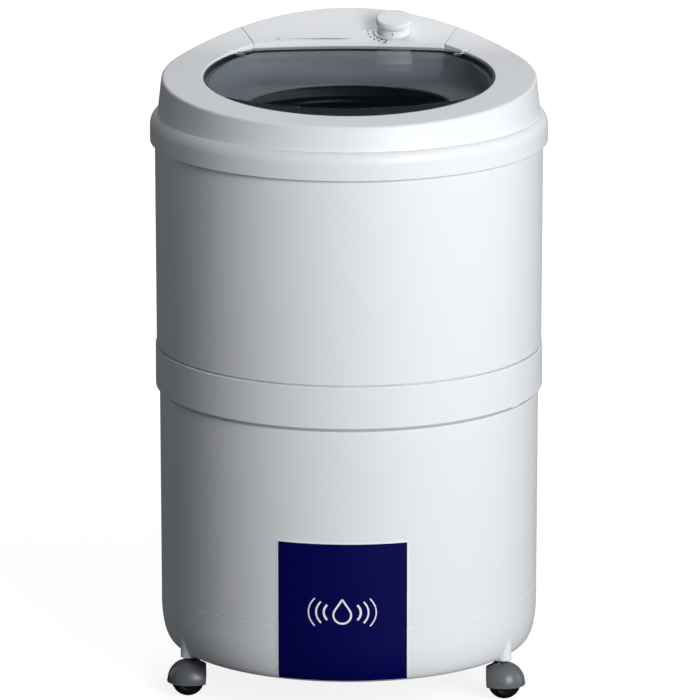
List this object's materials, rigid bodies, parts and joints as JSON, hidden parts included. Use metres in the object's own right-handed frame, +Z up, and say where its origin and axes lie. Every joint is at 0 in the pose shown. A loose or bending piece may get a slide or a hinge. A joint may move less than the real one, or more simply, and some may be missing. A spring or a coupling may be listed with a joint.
{
  "type": "spin dryer",
  "caption": "Upright cylindrical spin dryer with a tinted hinged lid, a rear timer panel, a perforated spin basket over a suspended motor, and ball castors.",
  "frame": {"origin": "centre of the bounding box's underside, on the floor under the basket's axis", "axes": "+Z up along the basket's axis, -Y towards the front with the label, +X to the right of a person facing the front"},
  "size_m": [0.39, 0.39, 0.6437],
  "materials": {
    "white_plastic": "gloss",
    "tinted_lid": "gloss, smoky and see-through",
    "slate_grip": "gloss",
    "black_rubber": "matte",
    "grey_plastic": "matte",
    "label_film": "gloss",
    "steel": "satin",
    "basket_steel": "brushed",
    "cast_alloy": "cast",
    "dark_steel": "painted",
    "brake_lining": "matte",
    "capacitor_case": "matte",
    "hood_plastic": "gloss",
    "wheel_plastic": "satin"
  },
  "bodies": {
    "casing": {"top_cover": "white_plastic", "control_panel": "white_plastic", "upper_shell": "white_plastic", "lower_shell": "white_plastic", "base_plate": "dark_steel", "front_label": "label_film", "lid_gasket": "black_rubber", "lid_hinge_pin_left": "steel", "lid_hinge_pin_right": "steel", "timer_body": "grey_plastic", "splash_ring": "grey_plastic", "tub_floor": "grey_plastic", "shaft_bellows": "black_rubber", "drain_hose": "black_rubber", "drain_spout": "grey_plastic", "cord_gland": "grey_plastic", "bearing_housing": "cast_alloy", "upper_bearing": "steel", "lower_bearing": "steel", "motor_bracket": "dark_steel", "suspension_mount_1": "brake_lining", "suspension_mount_2": "brake_lining", "suspension_mount_3": "brake_lining", "motor_housing": "dark_steel", "stator": "dark_steel", "brake_pivot_pin": "steel", "capacitor": "capacitor_case", "interlock_switch": "grey_plastic"},
    "lid": {"lid_panel": "tinted_lid", "lid_grip": "slate_grip"},
    "timer": {"timer_knob": "white_plastic", "knob_cap": "white_plastic", "timer_shaft": "steel"},
    "spinner": {"basket": "basket_steel", "balance_ring": "grey_plastic", "basket_hub": "cast_alloy", "hub_nut": "steel", "drive_shaft": "steel", "rotor": "dark_steel", "brake_disc": "steel"},
    "brake": {"brake_lever": "dark_steel", "brake_pad": "brake_lining"},
    "castor_1": {"castor_1_stem": "steel", "castor_1_hood": "hood_plastic", "castor_1_axle": "steel"},
    "castor_1_wheel_a": {"castor_1_wheel_a": "wheel_plastic"},
    "castor_1_wheel_b": {"castor_1_wheel_b": "wheel_plastic"},
    "castor_2": {"castor_2_stem": "steel", "castor_2_hood": "hood_plastic", "castor_2_axle": "steel"},
    "castor_2_wheel_a": {"castor_2_wheel_a": "wheel_plastic"},
    "castor_2_wheel_b": {"castor_2_wheel_b": "wheel_plastic"},
    "castor_3": {"castor_3_stem": "steel", "castor_3_hood": "hood_plastic", "castor_3_axle": "steel"},
    "castor_3_wheel_a": {"castor_3_wheel_a": "wheel_plastic"},
    "castor_3_wheel_b": {"castor_3_wheel_b": "wheel_plastic"}
  },
  "joints": [
    {"name": "lid_hinge", "type": "hinge", "parent": "casing", "child": "lid", "pos_m": [0, 0.087, 0.61059], "axis": [-1, 0, 0], "range_deg": [0, 78]},
    {"name": "timer_turn", "type": "hinge", "parent": "casing", "child": "timer", "pos_m": [0.045, 0.135, 0.62391], "axis": [0, -0.2596, 0.9657], "range_deg": [-300, 0]},
    {"name": "basket_spin", "type": "hinge", "parent": "casing", "child": "spinner", "pos_m": [0, 0, 0.3], "axis": [0, 0, 1], "continuous": true},
    {"name": "brake_lever_turn", "type": "hinge", "parent": "casing", "child": "brake", "pos_m": [0.058, 0.034, 0.062], "axis": [0, 0, -1], "range_deg": [0, 4.1]},
    {"name": "castor_1_swivel", "type": "hinge", "parent": "casing", "child": "castor_1", "pos_m": [-0.15236, -0.07763, 0.05], "axis": [0, 0, 1], "continuous": true},
    {"name": "castor_1_wheel_a_roll", "type": "hinge", "parent": "castor_1", "child": "castor_1_wheel_a", "pos_m": [-0.15886, -0.07763, 0.016], "axis": [0, 1, 0], "continuous": true},
    {"name": "castor_1_wheel_b_roll", "type": "hinge", "parent": "castor_1", "child": "castor_1_wheel_b", "pos_m": [-0.15886, -0.07763, 0.016], "axis": [0, 1, 0], "continuous": true},
    {"name": "castor_2_swivel", "type": "hinge", "parent": "casing", "child": "castor_2", "pos_m": [0.14658, -0.08807, 0.05], "axis": [0, 0, 1], "continuous": true},
    {"name": "castor_2_wheel_a_roll", "type": "hinge", "parent": "castor_2", "child": "castor_2_wheel_a", "pos_m": [0.15308, -0.08807, 0.016], "axis": [0, 1, 0], "continuous": true},
    {"name": "castor_2_wheel_b_roll", "type": "hinge", "parent": "castor_2", "child": "castor_2_wheel_b", "pos_m": [0.15308, -0.08807, 0.016], "axis": [0, 1, 0], "continuous": true},
    {"name": "castor_3_swivel", "type": "hinge", "parent": "casing", "child": "castor_3", "pos_m": [0.00597, 0.1709, 0.05], "axis": [0, 0, 1], "continuous": true},
    {"name": "castor_3_wheel_a_roll", "type": "hinge", "parent": "castor_3", "child": "castor_3_wheel_a", "pos_m": [0.00597, 0.1644, 0.016], "axis": [1, 0, 0], "continuous": true},
    {"name": "castor_3_wheel_b_roll", "type": "hinge", "parent": "castor_3", "child": "castor_3_wheel_b", "pos_m": [0.00597, 0.1644, 0.016], "axis": [1, 0, 0], "continuous": true}
  ],
  "couplings": [
    {"joint": "brake_lever_turn", "follows": "lid_hinge", "ratio": 0.0513}
  ]
}
